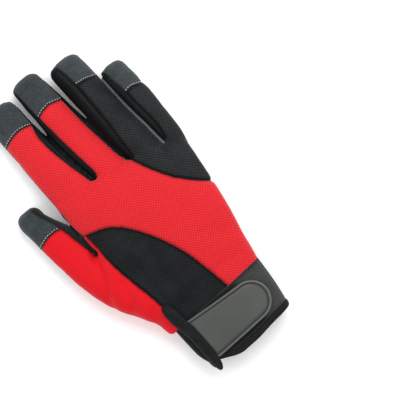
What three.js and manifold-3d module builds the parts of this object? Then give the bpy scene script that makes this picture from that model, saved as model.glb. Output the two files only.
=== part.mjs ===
// A mechanic's work glove for the right hand, empty and softly filled out, lying palm down.
// Millimetres. +Y runs from the cuff to the fingertips, +X from the thumb to the little finger, +Z up
// from the surface that the glove lies on. The origin is the middle of its footprint.
import * as THREE from "three";
import { mergeVertices } from "three/addons/utils/BufferGeometryUtils.js";
import Module from "manifold-3d";

const wasm = await Module();
wasm.setup();

// Driving dimensions
const gloveLength = 249; // from the cuff's edge to the tip of the middle finger
const handWidth = 104; // across the knuckles, without the thumb
const handDepth = 31; // the filled hand at its thickest
const panelWall = 1.6; // leather and knit panels
const seamGap = 0.3; // between two pieces that are sewn together
const cuffLength = 42; // wrist band, from its bound edge to the hand
const cuffWall = 2.4; // elastic band
const cuffStandOut = 0.7; // the band stands this far out of the hand's panels
const bindingLength = 5; // tape that wraps the cuff's edge
const bindingProud = 0.7; // the tape stands this far out of the band, and as far in
const gussetHeight = 11; // side strips between the fingers
const patchThickness = 1.2; // reinforcement sewn on the palm
const slitWidth = 2.4; // opening in the back of the cuff
const slitLength = 61; // from the cuff's edge
const slitBindingWidth = 7.5;
const slitBindingThickness = 2.6;
const strapLength = 54; // closure tab, from the slit's binding to its round end
const strapRootWidth = 32.5; // where it leaves the binding
const strapEndWidth = 28;
const strapDroop = 2.8; // its round end lies this much nearer to the cuff's edge
const strapThickness = 2.8;
const strapRimWidth = 2.6; // raised border of the closure tab
const strapRimHeight = 0.6;
const fingertipRounding = 13; // length of a fingertip's round end
const squareness = 2.5; // 2 is an ellipse, and more is a box with rounder corners
const bandSideInset = 3; // how far in from the cuff's little finger edge its loop panel ends
const handFacets = 28; // around the hand
const fingerFacets = 16;
const insideFacets = 0.62; // the share of them that an inner surface has

// The hand from the cuff to the web between the fingers. along is a share of gloveLength, left and right of
// handWidth, bottom and top of handDepth. lean draws a section's little finger side back towards the wrist.
const handSections = [
  { along: 0.0, left: -0.342, right: 0.33, bottom: 0.02, top: 0.87, lean: 0 },
  { along: 0.168, left: -0.361, right: 0.376, bottom: 0.03, top: 0.86, lean: 0 },
  { along: 0.28, left: -0.39, right: 0.432, bottom: 0.01, top: 0.94, lean: 0 },
  { along: 0.418, left: -0.412, right: 0.503, bottom: 0.0, top: 1.0, lean: 0.03 },
  { along: 0.54, left: -0.421, right: 0.55, bottom: 0.0, top: 0.98, lean: 0.08 },
  { along: 0.6, left: -0.421, right: 0.569, bottom: 0.04, top: 0.92, lean: 0.13 },
  { along: 0.628, left: -0.41, right: 0.56, bottom: 0.1, top: 0.84, lean: 0.16 },
  { along: 0.642, left: -0.36, right: 0.52, bottom: 0.2, top: 0.72, lean: 0.17 },
];

// The mound at the thumb's base, which folds over the thumb, in the same shares.
const moundSections = [
  { along: 0.17, left: -0.345, right: -0.1, bottom: 0.14, top: 0.7 },
  { along: 0.186, left: -0.4, right: -0.1, bottom: 0.1, top: 0.76 },
  { along: 0.222, left: -0.434, right: -0.1, bottom: 0.06, top: 0.8 },
  { along: 0.27, left: -0.496, right: -0.14, bottom: 0.02, top: 0.84 },
  { along: 0.33, left: -0.568, right: -0.2, bottom: 0.0, top: 0.86 },
  { along: 0.36, left: -0.572, right: -0.22, bottom: 0.0, top: 0.86 },
  { along: 0.42, left: -0.5, right: -0.25, bottom: 0.0, top: 0.84 },
  { along: 0.474, left: -0.424, right: -0.25, bottom: 0.04, top: 0.8 },
];

// The thumb from inside the mound to the start of its round end, in the same shares.
const thumbSections = [
  { along: 0.29, left: -0.5, right: -0.26, bottom: 0.02, top: 0.76 },
  { along: 0.34, left: -0.574, right: -0.29, bottom: 0.0, top: 0.78 },
  { along: 0.42, left: -0.634, right: -0.36, bottom: -0.02, top: 0.76 },
  { along: 0.47, left: -0.652, right: -0.415, bottom: -0.02, top: 0.71 },
  { along: 0.53, left: -0.666, right: -0.438, bottom: -0.02, top: 0.66 },
  { along: 0.6, left: -0.672, right: -0.442, bottom: -0.02, top: 0.61 },
  { along: 0.664, left: -0.668, right: -0.485, bottom: -0.02, top: 0.54 },
];
const thumbTip = 0.711;
const thumbSeam = 0.597;

// The four fingers. Places and widths are shares of handWidth, tip and seam of gloveLength, depth of handDepth.
// roll, in degrees, turns a finger's back towards the little finger.
const fingers = [
  {
    name: "index",
    rootX: -0.258,
    tipX: -0.274,
    tip: 0.983,
    seam: 0.876,
    rootWidth: 0.302,
    tipWidth: 0.236,
    depth: 0.64,
    roll: 0,
  },
  {
    name: "middle",
    rootX: 0.042,
    tipX: 0.008,
    tip: 1.0,
    seam: 0.882,
    rootWidth: 0.272,
    tipWidth: 0.21,
    depth: 0.64,
    roll: 4,
  },
  {
    name: "ring",
    rootX: 0.306,
    tipX: 0.28,
    tip: 0.97,
    seam: 0.872,
    rootWidth: 0.272,
    tipWidth: 0.254,
    depth: 0.6,
    roll: 36,
  },
  {
    name: "little",
    rootX: 0.41,
    tipX: 0.512,
    tip: 0.868,
    seam: 0.768,
    rootWidth: 0.2,
    tipWidth: 0.196,
    depth: 0.54,
    roll: 38,
  },
];
const fingerRoot = 0.5; // where the fingers' tubes start, inside the hand, as a share of gloveLength

// A finger from its root to the start of its round end. along is a share of that stretch. across goes from 0 at
// rootX to 1 at tipX, and width from 0 at rootWidth to 1 at tipWidth. depth is a share of the finger's depth, and
// lift raises it by a share of handDepth.
const fingerSections = [
  { along: 0.0, across: 0.0, width: 0.0, depth: 0.98, lift: 0.08 },
  { along: 0.2, across: 0.62, width: 0.0, depth: 1.04, lift: 0.09 },
  { along: 0.4, across: 0.84, width: 0.15, depth: 1.04, lift: 0.09 },
  { along: 0.7, across: 0.98, width: 0.62, depth: 0.98, lift: 0.05 },
  { along: 1.0, across: 1.0, width: 1.0, depth: 0.88, lift: -0.02 },
];

// How a round end closes: each row's share of the rounding's length, and of the last section's size.
const closing = [
  { reach: 0.5, size: 0.96 },
  { reach: 0.84, size: 0.76 },
  { reach: 1.0, size: 0.42 },
];

// Where the gussets' lower ends lie, as shares of gloveLength.
const webs = [
  { name: "index_middle_gusset", left: 0, right: 1, along: 0.612 },
  { name: "middle_ring_gusset", left: 1, right: 2, along: 0.598 },
  { name: "ring_little_gusset", left: 2, right: 3, along: 0.558 },
];

// How high the seam between back and palm runs on the thumb's side, on the thumb's inner flank and on the hand,
// as shares of handDepth.
const seamHeights = { outside: 0.32, thumbFlank: 0.58, hand: 0.4 };

// Seam lines in plan. across is a share of handWidth, and along of gloveLength.
const knuckleSeam = [
  { across: 0.158, along: 0.66 },
  { across: 0.204, along: 0.626 },
  { across: 0.218, along: 0.588 },
  { across: 0.302, along: 0.513 },
  { across: 0.413, along: 0.455 },
  { across: 0.502, along: 0.42 },
];
const wristSeamUpper = [
  { across: -0.394, along: 0.54 },
  { across: -0.227, along: 0.512 },
  { across: -0.108, along: 0.458 },
  { across: -0.001, along: 0.372 },
  { across: 0.06, along: 0.288 },
  { across: 0.106, along: 0.165 },
];
const wristSeamLower = [
  { across: -0.316, along: 0.165 },
  { across: -0.322, along: 0.262 },
  { across: -0.367, along: 0.382 },
  { across: -0.385, along: 0.47 },
  { across: -0.394, along: 0.54 },
];
const thumbPalmSeam = [
  { across: -0.4235, along: 0.482 },
  { across: -0.428, along: 0.42 },
  { across: -0.382, along: 0.31 },
];
const knitUnderThumb = [
  { across: -0.6, along: 0.47 },
  { across: -0.57, along: 0.405 },
  { across: -0.44, along: 0.345 },
  { across: -0.305, along: 0.235 },
  { across: -0.24, along: 0.165 },
];
const patchEdge = [
  { across: -0.43, along: 0.53 },
  { across: -0.418, along: 0.63 },
  { across: -0.385, along: 0.69 },
  { across: -0.33, along: 0.713 },
  { across: -0.27, along: 0.693 },
  { across: -0.2, along: 0.637 },
  { across: -0.13, along: 0.628 },
  { across: -0.03, along: 0.65 },
  { across: 0.1, along: 0.616 },
  { across: 0.2, along: 0.624 },
  { across: 0.33, along: 0.596 },
  { across: 0.45, along: 0.598 },
  { across: 0.515, along: 0.56 },
  { across: 0.46, along: 0.541 },
  { across: 0.15, along: 0.566 },
  { across: 0.107, along: 0.546 },
  { across: 0.15, along: 0.516 },
  { across: 0.3, along: 0.494 },
  { across: 0.43, along: 0.455 },
  { across: 0.465, along: 0.402 },
  { across: 0.42, along: 0.342 },
  { across: 0.3, along: 0.31 },
  { across: 0.16, along: 0.32 },
  { across: 0.03, along: 0.362 },
  { across: -0.05, along: 0.42 },
  { across: -0.11, along: 0.488 },
  { across: -0.2, along: 0.52 },
  { across: -0.32, along: 0.51 },
];
// The bare place inside the patch is an egg that lies across the palm. narrow draws its near end in.
const patchHole = { across: 0.23, along: 0.413, length: 0.19, width: 0.25, narrow: 0.22, turn: 40 };

const degrees = Math.PI / 180;
const high = handDepth * 3; // taller and wider than the glove, for cutting bodies
const wide = handWidth * 2;
const palmRise = patchThickness + seamGap; // the bare palm clears the surface by the patch's thickness

// Solids and geometry
function solidOf(geometry) {
  geometry.deleteAttribute("normal");
  geometry.deleteAttribute("uv");
  const merged = mergeVertices(geometry, 1e-4);
  return new wasm.Manifold(
    new wasm.Mesh({
      numProp: 3,
      vertProperties: merged.attributes.position.array,
      triVerts: merged.index.array,
    }),
  );
}

function geometryOf(solid) {
  const mesh = solid.getMesh();
  return new THREE.BufferGeometry()
    .setAttribute("position", new THREE.BufferAttribute(mesh.vertProperties, 3))
    .setIndex(new THREE.BufferAttribute(mesh.triVerts, 1));
}

// A cut piece without the crumbs that a seam leaves where it just grazes a fold.
function whole(solid) {
  return solid.decompose().reduce((best, body) => (body.volume() > best.volume() ? body : best));
}

// A closed body through rings of points that lie across +Y, each anticlockwise as seen from the cuff.
function skin(rings) {
  const sides = rings[0].length;
  const faces = [];
  for (let r = 0; r + 1 < rings.length; r++) {
    for (let k = 0; k < sides; k++) {
      const here = r * sides + k;
      const next = r * sides + ((k + 1) % sides);
      faces.push(here, next + sides, next, here, here + sides, next + sides);
    }
  }
  const contour = rings[0].map((p) => new THREE.Vector2(p.x, p.z));
  const last = (rings.length - 1) * sides;
  for (const [a, b, c] of THREE.ShapeUtils.triangulateShape(contour, [])) {
    faces.push(a, b, c, last + a, last + c, last + b);
  }
  return solidOf(new THREE.BufferGeometry().setFromPoints(rings.flat()).setIndex(faces));
}

// A column over an outline in plan, given as points in millimetres.
function column(outline, low = -high, top = high) {
  const body = new THREE.ExtrudeGeometry(new THREE.Shape(outline), { depth: top - low, bevelEnabled: false });
  return solidOf(body.translate(0, 0, low));
}

function block(left, right, near, far, low = -high, top = high) {
  const corners = [new THREE.Vector2(left, near), new THREE.Vector2(right, near)];
  corners.push(new THREE.Vector2(right, far), new THREE.Vector2(left, far));
  return column(corners, low, top);
}

// An outline moved out by a distance, square to its edges.
function grown(outline, distance) {
  const turn = THREE.ShapeUtils.isClockWise(outline) ? -1 : 1;
  return outline.map((point, k) => {
    const before = outline[(k + outline.length - 1) % outline.length];
    const after = outline[(k + 1) % outline.length];
    const first = point.clone().sub(before).normalize();
    const second = after.clone().sub(point).normalize();
    const along = first.clone().add(second).normalize();
    const stretch = turn / Math.max(0.5, along.dot(second));
    return new THREE.Vector2(along.y, -along.x).multiplyScalar(distance * stretch).add(point);
  });
}

// What lies inside an outline in plan and what lies outside it, a seam's gap apart.
function parted(solid, outline) {
  return [solid.intersect(column(outline)), solid.subtract(column(grown(outline, seamGap)))];
}

const inPlan = ({ across, along }) => new THREE.Vector2(across * handWidth, along * gloveLength);
const corner = (across, along) => inPlan({ across, along });

function smooth(line, spans) {
  return new THREE.SplineCurve(line.map(inPlan)).getPoints(spans);
}

// Sections and tubes
function mix(low, high, share) {
  return low + (high - low) * share;
}

const facets = (count, grow) => Math.round(grow < 0 ? count * insideFacets : count);

// A section's outline: a rounded box that may be rolled about its middle, grown or shrunk all round.
function ringOf({ y, x, z, halfWidth, halfDepth, roll = 0, lean = 0 }, grow, sides) {
  const bend = 2 / squareness;
  return Array.from({ length: sides }, (_, k) => {
    const angle = (2 * Math.PI * k) / sides;
    const [c, s] = [Math.cos(angle), Math.sin(angle)];
    const across = Math.sign(c) * Math.abs(c) ** bend * Math.max(halfWidth + grow, 0.5);
    const up = Math.sign(s) * Math.abs(s) ** bend * Math.max(halfDepth + grow, 0.5);
    const px = across * Math.cos(roll) + up * Math.sin(roll);
    const pz = up * Math.cos(roll) - across * Math.sin(roll);
    return new THREE.Vector3(x + px, y - lean * px, z + pz);
  });
}

function boxSection({ along, left, right, bottom, top, lean = 0 }) {
  return {
    y: along * gloveLength,
    x: ((left + right) / 2) * handWidth,
    z: ((bottom + top) / 2) * handDepth,
    halfWidth: ((right - left) / 2) * handWidth,
    halfDepth: ((top - bottom) / 2) * handDepth,
    lean,
  };
}

// A finger's section at a share of the way from its root to the start of its round end.
function fingerSection(finger, along) {
  const after = Math.max(fingerSections.findIndex((row) => row.along >= along), 1);
  const [from, to] = [fingerSections[after - 1], fingerSections[after]];
  const share = (along - from.along) / (to.along - from.along);
  const width = mix(finger.rootWidth, finger.tipWidth, mix(from.width, to.width, share));
  const halfWidth = (width * handWidth) / 2;
  const halfDepth = (finger.depth * handDepth * mix(from.depth, to.depth, share)) / 2;
  const roll = finger.roll * degrees;
  const drop = Math.hypot(halfWidth * Math.sin(roll), halfDepth * Math.cos(roll));
  return {
    y: mix(fingerRoot * gloveLength, finger.tip * gloveLength - fingertipRounding, along),
    x: mix(finger.rootX, finger.tipX, mix(from.across, to.across, share)) * handWidth,
    z: drop + mix(from.lift, to.lift, share) * handDepth,
    halfWidth,
    halfDepth,
    roll,
  };
}

// A finger's section level with a place along the glove.
function fingerAt(finger, y) {
  const rootY = fingerRoot * gloveLength;
  const endY = finger.tip * gloveLength - fingertipRounding;
  const along = THREE.MathUtils.clamp((y - rootY) / (endY - rootY), 0, 1);
  return { ...fingerSection(finger, along), y };
}

// A tube through sections, with a round end that reaches to tipY.
function roundEnded(sections, tipY, grow) {
  const sides = facets(fingerFacets, grow);
  const last = sections.at(-1);
  const rings = sections.map((section) => ringOf(section, grow, sides));
  for (const { reach, size } of closing) {
    const end = {
      ...last,
      y: mix(last.y, tipY + grow, reach),
      z: last.z - last.halfDepth * (1 - size) * 0.15,
      halfWidth: last.halfWidth * size,
      halfDepth: last.halfDepth * size,
    };
    rings.push(ringOf(end, grow * size, sides));
  }
  return skin(rings);
}

function fingerTube(finger, grow) {
  const sections = fingerSections.map(({ along }) => fingerSection(finger, along));
  return roundEnded(sections, finger.tip * gloveLength, grow);
}

function thumbTube(grow) {
  return roundEnded(thumbSections.map(boxSection), thumbTip * gloveLength, grow);
}

// The hand or the mound. Their front ends draw in by the wall where they shrink, and the cuff's end stays open.
function palmTube(table, sides, grow) {
  const sections = table.map(boxSection);
  const front = sections.length - 2;
  return skin(
    sections.map((section, k) => {
      const push = k === 0 ? -2 * Math.abs(grow) : k >= front ? grow : 0;
      return ringOf({ ...section, y: section.y + push }, grow, facets(sides, grow));
    }),
  );
}

const handTube = (grow) => palmTube(handSections, handFacets, grow);
const moundTube = (grow) => palmTube(moundSections, fingerFacets, grow);
const above = (height) => block(-wide, wide, -gloveLength, 2 * gloveLength, height);

// The whole glove as a filled body, flattened below where it rests.
function filled(grow) {
  const hand = handTube(grow).intersect(above(palmRise - grow));
  const digits = fingers.map((finger) => fingerTube(finger, grow)).concat(thumbTube(grow), moundTube(grow));
  const lowest = above(-Math.min(grow, 0));
  return digits.reduce((body, digit) => body.add(digit.intersect(lowest)), hand);
}

const handStart = cuffLength + seamGap;
const shell = filled(0)
  .subtract(filled(-panelWall))
  .intersect(block(-wide, wide, handStart, 2 * gloveLength));

// The side strip between two fingers: over each finger's flank a wedge out of its middle, and an upright
// strip between them for the web.
function gussetWedge(left, right, webY, gap) {
  const half = gussetHeight / 2;
  const endY = Math.max(left.tip, right.tip) * gloveLength + fingertipRounding;
  const stations = [webY - gap, webY + fingertipRounding, mix(webY, endY, 0.6), endY];
  const flank = (finger, side, y) => {
    const s = fingerAt(finger, y);
    const place = (across, up) =>
      new THREE.Vector2(
        s.x + across * Math.cos(s.roll) + up * Math.sin(s.roll),
        s.z + up * Math.cos(s.roll) - across * Math.sin(s.roll),
      );
    const out = side * (s.halfWidth + panelWall);
    return [place(0, 0), place(out, -side * half), place(out, side * half)];
  };
  const between = (y) => {
    const ends = [...flank(left, 1, y).slice(1), ...flank(right, -1, y).slice(1)];
    const [a, b] = [(ends[0].x + ends[1].x) / 2, (ends[2].x + ends[3].x) / 2];
    const middle = (a + b) / 2;
    const reach = Math.max(Math.abs(b - a) / 2, panelWall);
    const low = (ends[0].y + ends[3].y) / 2;
    const high = (ends[1].y + ends[2].y) / 2;
    return [
      new THREE.Vector2(middle - reach, low),
      new THREE.Vector2(middle + reach, low),
      new THREE.Vector2(middle + reach, high),
      new THREE.Vector2(middle - reach, high),
    ];
  };
  const body = (sectionAt) =>
    skin(stations.map((y) => grown(sectionAt(y), gap).map((p) => new THREE.Vector3(p.x, y, p.y))));
  return body((y) => flank(left, 1, y))
    .add(body((y) => flank(right, -1, y)))
    .add(body(between));
}

// Everything above the seam between the glove's back and its palm. The seam follows each finger's roll, and
// climbs the thumb's inner flank past the crotch.
function aboveSeam(raise) {
  const stations = [-0.1, 0.42, 0.455, 0.49, 0.6, 0.8, 1.1];
  const thumbEnd = thumbSections.at(-2);
  return skin(
    stations.map((along) => {
      const y = along * gloveLength;
      const rolled = THREE.MathUtils.smoothstep(along, 0.42, 0.6);
      const flank = THREE.MathUtils.smoothstep(along, 0.44, 0.49);
      const flankHeight = mix(seamHeights.outside, seamHeights.thumbFlank, flank) * handDepth;
      const points = [
        new THREE.Vector3(-wide, y, seamHeights.outside * handDepth + raise),
        new THREE.Vector3(thumbEnd.left * handWidth, y, seamHeights.outside * handDepth + raise),
        new THREE.Vector3(thumbEnd.right * handWidth, y, flankHeight + raise),
      ];
      fingers.forEach((finger, k) => {
        const s = fingerAt(finger, y);
        const [before, after] = [fingers[k - 1], fingers[k + 1]];
        const from = before ? (fingerAt(before, y).x + s.x) / 2 : s.x - s.halfWidth;
        const to = after ? (fingerAt(after, y).x + s.x) / 2 : s.x + 3 * s.halfWidth;
        for (const x of [from + 0.01, to - 0.01]) {
          const z = s.z - (x - s.x) * Math.tan(s.roll) * rolled;
          points.push(new THREE.Vector3(x, y, mix(seamHeights.hand * handDepth, z, rolled) + raise));
        }
      });
      points.push(new THREE.Vector3(wide, y, points.at(-1).z));
      points.push(new THREE.Vector3(wide, y, high), new THREE.Vector3(-wide, y, high));
      return points;
    }),
  );
}

const pieces = new Map();
let rest = shell;
for (const { name, left, right, along } of webs) {
  const between = [fingers[left], fingers[right], along * gloveLength];
  pieces.set(name, shell.intersect(gussetWedge(...between, 0)));
  rest = rest.subtract(gussetWedge(...between, seamGap));
}
let back = rest.intersect(aboveSeam(seamGap / 2));
const palm = rest.subtract(aboveSeam(-seamGap / 2));

// Fingertip caps: the back of each finger past a seam that bows towards the tip.
function capOutline(x, reach, seamY) {
  const bow = fingertipRounding * 0.44;
  const seam = new THREE.QuadraticBezierCurve(
    new THREE.Vector2(x - reach, seamY),
    new THREE.Vector2(x, seamY + bow),
    new THREE.Vector2(x + reach, seamY),
  ).getPoints(6);
  const far = gloveLength * 1.1;
  return [...seam, new THREE.Vector2(x + reach, far), new THREE.Vector2(x - reach, far)].reverse();
}

for (const finger of fingers) {
  const seamY = finger.seam * gloveLength;
  const { x, halfWidth, halfDepth, roll } = fingerAt(finger, seamY);
  const reach = Math.hypot(halfWidth * Math.cos(roll), halfDepth * Math.sin(roll)) * 1.02;
  const [cap, others] = parted(back, capOutline(x, reach, seamY));
  pieces.set(finger.name + "_tip_cap", cap);
  back = others;
}

// The thumb's back is one piece of knit with the side of the wrist, and wraps under its edge.
const crotch = (thumbPalmSeam[0].across - 0.003) * handWidth;
const pastThumb = thumbTip * gloveLength + fingertipRounding;
const thumbBackOutline = [
  ...smooth(wristSeamLower, 12),
  new THREE.Vector2(crotch, wristSeamLower.at(-1).along * gloveLength + 3),
  new THREE.Vector2(crotch, pastThumb),
  new THREE.Vector2(-wide, pastThumb),
  new THREE.Vector2(-wide, 0),
  new THREE.Vector2(wristSeamLower[0].across * handWidth, 0),
];
const [thumbTop, handBack] = parted(back, thumbBackOutline);
const thumbEnd = boxSection(thumbSections.at(-2));
const capPlan = capOutline(thumbEnd.x, thumbEnd.halfWidth * 1.05, thumbSeam * gloveLength);
const [thumbTipCap, thumbBackUpper] = parted(thumbTop, capPlan);

const underOutline = [
  ...smooth(knitUnderThumb, 12),
  new THREE.Vector2(knitUnderThumb.at(-1).across * handWidth, 0),
  new THREE.Vector2(-wide, 0),
  new THREE.Vector2(-wide, knitUnderThumb[0].along * gloveLength),
];
const [thumbBackLower, palmBlack] = parted(palm, underOutline);
const thumbPalmOutline = [
  ...smooth(thumbPalmSeam, 8),
  new THREE.Vector2(thumbPalmSeam.at(-1).across * handWidth - fingertipRounding, 0.25 * gloveLength),
  new THREE.Vector2(-wide, 0.25 * gloveLength),
  new THREE.Vector2(-wide, pastThumb),
  new THREE.Vector2(crotch, pastThumb),
];
const [thumbPalm, palmPanel] = parted(palmBlack, thumbPalmOutline);

// The knit runs on round the glove's edge there, so a strip joins its upper and lower halves.
const edgeStrip = rest
  .intersect(column(underOutline, 0.2 * handDepth, 0.5 * handDepth))
  .intersect(block(-wide, -0.4 * handWidth, 0, gloveLength));
pieces.set("thumb_back_panel", thumbBackUpper.add(thumbBackLower).add(edgeStrip));
pieces.set("thumb_tip_cap", thumbTipCap);
pieces.set("thumb_palm_panel", thumbPalm);
pieces.set("palm_panel", palmPanel);

// The back of the hand: knit, with mesh over the outer fingers and over the wrist.
const knuckleOutline = [
  ...smooth(knuckleSeam, 16),
  new THREE.Vector2(wide, knuckleSeam.at(-1).along * gloveLength),
  new THREE.Vector2(wide, 1.1 * gloveLength),
  corner(knuckleSeam[0].across, 1.1),
];
const [knuckleMesh, knitAndWrist] = parted(handBack, knuckleOutline);
const wristOutline = [
  ...smooth(wristSeamUpper, 16),
  corner(wristSeamUpper.at(-1).across, 0),
  corner(wristSeamLower[0].across, 0),
  ...smooth(wristSeamLower, 12).slice(0, -1),
].reverse();
const [wristMesh, knitBack] = parted(knitAndWrist, wristOutline);
pieces.set("knuckle_mesh_panel", knuckleMesh);
pieces.set("back_panel", knitBack);

// A layer that lies on a body, over a column in plan.
function layer(body, clearance, thickness, plan) {
  return body(clearance + thickness).subtract(body(clearance)).intersect(plan);
}

// The reinforcement on the palm, cut clear of what lies lower than the palm.
function patchBody(grow) {
  const ball = [fingers[0], fingers[1]].map((finger) => fingerTube(finger, grow));
  return ball.reduce((body, tube) => body.add(tube), handTube(grow)).intersect(above(palmRise - grow));
}

function eggOutline({ across, along, length, width, narrow, turn }, points) {
  return Array.from({ length: points }, (_, k) => {
    const angle = (2 * Math.PI * k) / points;
    const taper = 1 - narrow * Math.cos(angle);
    const lengthwise = (Math.cos(angle) * length * gloveLength) / 2;
    const crosswise = (Math.sin(angle) * taper * width * handWidth) / 2;
    const turned = new THREE.Vector2(lengthwise, crosswise).rotateAround(new THREE.Vector2(), (90 + turn) * degrees);
    return turned.add(corner(across, along));
  });
}

const patchPlan = column(smooth([...patchEdge, patchEdge[0]], 56).slice(1), -high, 0.3 * handDepth);
const patchLayer = layer(patchBody, seamGap, patchThickness, patchPlan);
const patchBare = column(eggOutline(patchHole, 16));
pieces.set("palm_patch", patchLayer.subtract(patchBare).subtract(filled(seamGap)));

// The cuff: an elastic band with a slit in its back, bound with tape.
const [cuffSection, handSection] = handSections.slice(0, 2).map(boxSection);
function cuffTube(grow, from, to) {
  const keys = ["x", "z", "halfWidth", "halfDepth"];
  const rings = [from, mix(from, to, 0.5), to].map((y) => {
    const share = y / cuffLength;
    const section = Object.fromEntries(keys.map((key) => [key, mix(cuffSection[key], handSection[key], share)]));
    return ringOf({ ...section, y }, grow, facets(handFacets, grow));
  });
  return skin(rings).intersect(above(-Math.min(grow - cuffStandOut, 0)));
}

const slitX = (y) => mix(-0.296, -0.303, y / slitLength) * handWidth;
const slitPoint = (y) => new THREE.Vector2(slitX(y), y);

// A strip between two points with a round far end.
function tongue(from, to, halfWidth) {
  const side = to.clone().sub(from).normalize().rotateAround(new THREE.Vector2(), 90 * degrees);
  const arc = Array.from({ length: 7 }, (_, k) =>
    side.clone().multiplyScalar(halfWidth).rotateAround(new THREE.Vector2(), -30 * k * degrees).add(to),
  );
  const start = [-halfWidth, halfWidth].map((offset) => side.clone().multiplyScalar(offset).add(from));
  return [...start, ...arc].reverse();
}

const bandStart = bindingLength + seamGap;
const slit = column(tongue(slitPoint(-1), slitPoint(slitLength), slitWidth / 2), 0.4 * handDepth);
const bandTube = cuffTube(cuffStandOut, bandStart, cuffLength)
  .subtract(cuffTube(cuffStandOut - cuffWall, 0, cuffLength + 1))
  .subtract(slit);
const bandEdge = handSection.x + handSection.halfWidth;
const loopPlan = (gap) =>
  block(slitX(0) - gap, bandEdge - bandSideInset + gap, -gap, 2 * cuffLength, 0.4 * handDepth - gap);
pieces.set("cuff_loop_panel", bandTube.intersect(loopPlan(0)));
pieces.set("cuff_band", bandTube.subtract(loopPlan(seamGap)));
pieces.set(
  "cuff_binding",
  cuffTube(cuffStandOut + bindingProud, 0, bindingLength)
    .subtract(cuffTube(cuffStandOut - cuffWall - bindingProud, -1, bindingLength + 1))
    .subtract(slit),
);
pieces.set("wrist_mesh_panel", wristMesh.subtract(slit));

// The tape along the slit, and the closure tab that leaves it across the back of the cuff.
const covering = (grow) => cuffTube(cuffStandOut + grow, 0, handStart).add(filled(grow));
const pastBinding = block(-wide, wide, bandStart, gloveLength, 0.42 * handDepth);
const slitTape = tongue(slitPoint(0), slitPoint(slitLength), slitBindingWidth / 2);
const slitTapePlan = column(slitTape).intersect(pastBinding);
pieces.set("slit_binding", layer(covering, seamGap, slitBindingThickness, slitTapePlan));

const strapLeft = slitX(0) + slitBindingWidth / 2 + seamGap;
const strapMiddle = bindingLength + (cuffLength - bindingLength) / 2;
function strapOutline(inset) {
  const [rootHalf, endHalf] = [strapRootWidth / 2 - inset, strapEndWidth / 2 - inset];
  const endMiddle = strapMiddle - strapDroop;
  const endX = strapLeft + strapLength - inset - endHalf;
  const shape = new THREE.Shape()
    .moveTo(strapLeft + inset, strapMiddle - rootHalf)
    .lineTo(endX, endMiddle - endHalf)
    .absarc(endX, endMiddle, endHalf, -Math.PI / 2, Math.PI / 2)
    .lineTo(strapLeft + inset, strapMiddle + rootHalf);
  const points = shape.getPoints(7);
  return points.filter((point, k) => k === 0 || point.distanceTo(points[k - 1]) > 0.01);
}
const strap = layer(covering, seamGap, strapThickness, column(strapOutline(0)).intersect(pastBinding));
const sunkMiddle = column(strapOutline(strapRimWidth)).subtract(covering(seamGap + strapThickness - strapRimHeight));
pieces.set("strap_tab", strap.subtract(sunkMiddle));

// Materials
const finish = (color, roughness) => new THREE.MeshStandardMaterial({ color, roughness, metalness: 0 });
const redKnit = finish(0xe8262f, 0.75);
const blackMesh = finish(0x202326, 0.8);
const suede = finish(0x30373a, 0.9);
const stretchFabric = finish(0x15181b, 0.8);
const bandFabric = finish(0x1a1d20, 0.85);
const loopFabric = finish(0x34373a, 0.9);
const tape = finish(0x181b1e, 0.8);
const rubber = finish(0x5b5d59, 0.55);

const materials = {
  back_panel: redKnit,
  thumb_back_panel: redKnit,
  knuckle_mesh_panel: blackMesh,
  wrist_mesh_panel: blackMesh,
  index_middle_gusset: stretchFabric,
  middle_ring_gusset: stretchFabric,
  ring_little_gusset: stretchFabric,
  cuff_band: bandFabric,
  cuff_loop_panel: loopFabric,
  cuff_binding: tape,
  slit_binding: tape,
  strap_tab: rubber,
};

const glove = new THREE.Group();
for (const [name, solid] of pieces) {
  const mesh = new THREE.Mesh(geometryOf(whole(solid)), materials[name] ?? suede);
  mesh.name = name;
  glove.add(mesh);
}

// The origin goes to the middle of the footprint.
const box = new THREE.Box3().setFromObject(glove);
const middle = box.getCenter(new THREE.Vector3());
glove.position.set(-middle.x, -middle.y, -box.min.z);

export default glove;
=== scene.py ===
# A mechanic's work glove for the right hand: knit back, mesh insets, suede palm with a sewn patch, and a
# strap closure. The meshes are worked out in millimetres from the cuff's edge and then set into the frame.
import math

import bpy
import numpy as np
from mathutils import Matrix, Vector, noise
from mathutils.bvhtree import BVHTree
from mathutils.kdtree import KDTree


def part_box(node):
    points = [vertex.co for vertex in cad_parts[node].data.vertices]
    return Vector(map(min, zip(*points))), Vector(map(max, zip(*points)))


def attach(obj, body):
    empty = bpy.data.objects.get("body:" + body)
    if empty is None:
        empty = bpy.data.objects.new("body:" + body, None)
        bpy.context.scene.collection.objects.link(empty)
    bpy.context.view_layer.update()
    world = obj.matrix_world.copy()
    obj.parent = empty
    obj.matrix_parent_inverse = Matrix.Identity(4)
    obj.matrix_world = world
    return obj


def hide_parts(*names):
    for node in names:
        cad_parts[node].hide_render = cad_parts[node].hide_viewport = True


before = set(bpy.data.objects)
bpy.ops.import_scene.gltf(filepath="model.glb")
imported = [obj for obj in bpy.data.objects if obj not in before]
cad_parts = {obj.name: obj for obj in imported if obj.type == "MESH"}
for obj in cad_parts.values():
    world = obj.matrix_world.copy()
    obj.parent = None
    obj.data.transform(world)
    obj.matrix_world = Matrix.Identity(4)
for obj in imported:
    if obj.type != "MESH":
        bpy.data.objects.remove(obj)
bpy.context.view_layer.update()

# The camera looks straight down on the glove. It is turned so that the fingers point to the picture's upper
# left, and far enough off that the glove is drawn almost without perspective.
picture_side = 0.284
camera_middle = (0.0402, -0.0251)
camera_turn = -42.0
level_in_view = 0.012
camera_data = bpy.data.cameras.new("camera")
camera_data.lens = 110
camera_data.sensor_width = 36
camera_height = level_in_view + picture_side * camera_data.lens / camera_data.sensor_width
camera = bpy.data.objects.new("camera", camera_data)
camera.location = (*camera_middle, camera_height)
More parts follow.
